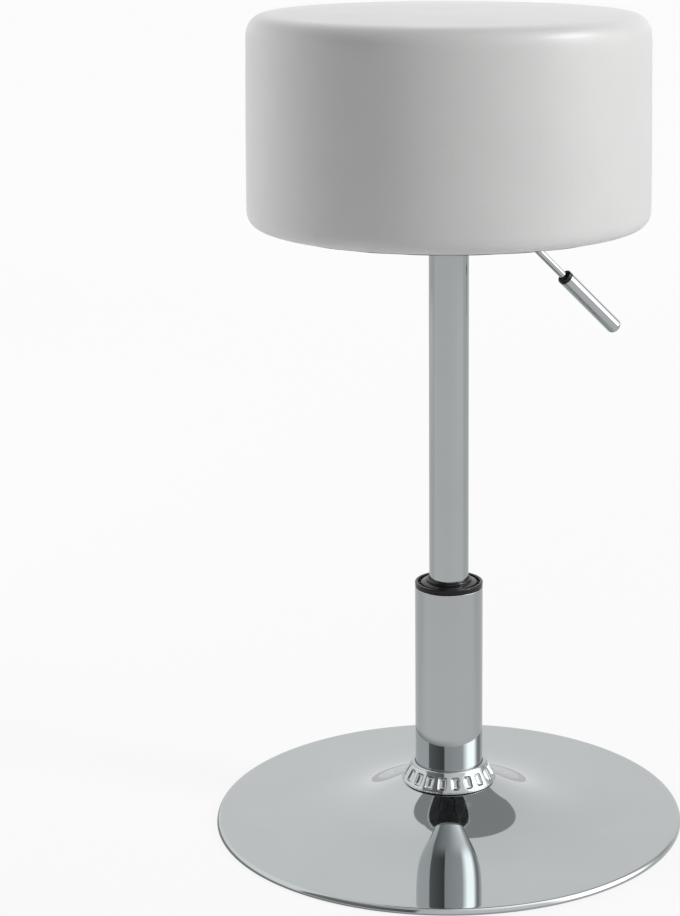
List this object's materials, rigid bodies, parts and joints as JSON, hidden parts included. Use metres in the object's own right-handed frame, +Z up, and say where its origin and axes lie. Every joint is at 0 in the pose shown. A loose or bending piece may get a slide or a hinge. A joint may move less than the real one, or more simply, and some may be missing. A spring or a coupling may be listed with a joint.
{
  "type": "vanity stool",
  "caption": "Round vanity stool: a padded drum seat on a chromed gas-lift column with a release lever, standing on a flared disc foot.",
  "frame": {"origin": "on the floor, at the centre of the round foot, under the column's axis", "axes": "+Z up along the column; the picture looks along +Y with +X to its right; the release lever's plane is turned 25 degrees from +X towards +Y"},
  "size_m": [0.347, 0.347, 0.6021],
  "materials": {
    "chrome": "polished",
    "bright_steel": "satin",
    "black_paint": "satin",
    "cast_ballast": "matte",
    "black_plastic": "gloss",
    "black_rubber": "matte",
    "white_vinyl": "satin",
    "seat_foam": "matte",
    "plywood": "matte",
    "dust_cloth": "matte",
    "brass": "satin"
  },
  "bodies": {
    "base": {"base_shell": "chrome", "base_ballast": "cast_ballast", "floor_ring": "black_rubber", "base_hub": "bright_steel", "hub_screw_1": "bright_steel", "hub_screw_2": "bright_steel", "hub_screw_3": "bright_steel", "hub_screw_4": "bright_steel", "stand_tube": "chrome", "column_collar": "chrome", "guide_bush": "black_plastic", "column_cap": "black_plastic", "bearing_lower_washer": "bright_steel"},
    "rod": {"piston_rod": "bright_steel", "bearing_upper_washer": "bright_steel", "rod_clip": "bright_steel", "rubber_bumper": "black_rubber", "piston": "bright_steel", "piston_seal": "black_rubber", "piston_nut": "bright_steel"},
    "bearing": {"bearing_cage": "brass", "bearing_ball_1": "bright_steel", "bearing_ball_2": "bright_steel", "bearing_ball_3": "bright_steel", "bearing_ball_4": "bright_steel", "bearing_ball_5": "bright_steel", "bearing_ball_6": "bright_steel", "bearing_ball_7": "bright_steel", "bearing_ball_8": "bright_steel"},
    "seat": {"gas_cylinder": "chrome", "cylinder_end_guide": "black_plastic", "rod_seal": "black_rubber", "valve_body": "brass", "taper_socket": "black_paint", "seat_plate": "black_paint", "plate_screw_1": "bright_steel", "plate_screw_2": "bright_steel", "plate_screw_3": "bright_steel", "plate_screw_4": "bright_steel", "tee_nut_1": "bright_steel", "tee_nut_2": "bright_steel", "tee_nut_3": "bright_steel", "tee_nut_4": "bright_steel", "seat_board": "plywood", "foam_pad": "seat_foam", "seat_cover": "white_vinyl", "dust_cover": "dust_cloth", "lever_bracket": "black_paint", "lever_pivot_pin": "bright_steel"},
    "lever": {"release_tongue": "bright_steel", "lever_rod": "chrome", "lever_grip": "chrome", "grip_ferrule": "black_plastic"},
    "valve_pin": {"valve_pin": "bright_steel"}
  },
  "joints": [
    {"name": "seat_swivel", "type": "hinge", "parent": "base", "child": "rod", "pos_m": [0, 0, 0.0165], "axis": [0, 0, 1], "continuous": true},
    {"name": "bearing_roll", "type": "hinge", "parent": "base", "child": "bearing", "pos_m": [0, 0, 0.0124], "axis": [0, 0, 1], "continuous": true},
    {"name": "seat_lift", "type": "slide", "parent": "rod", "child": "seat", "axis": [0, 0, 1], "range_m": [-0.09, 0.01]},
    {"name": "lever_lift", "type": "hinge", "parent": "seat", "child": "lever", "pos_m": [0.01994, 0.0093, 0.4593], "axis": [0.4226, -0.9063, 0], "range_deg": [0, 8], "stiffness_Nm_per_rad": 1, "springref_deg": -14.32},
    {"name": "pin_press", "type": "slide", "parent": "seat", "child": "valve_pin", "axis": [0, 0, -1], "range_m": [0, 0.0032]}
  ],
  "couplings": [
    {"joint": "bearing_roll", "follows": "seat_swivel", "ratio": 0.5},
    {"joint": "pin_press", "follows": "lever_lift", "m_per_rad": 0.022}
  ]
}
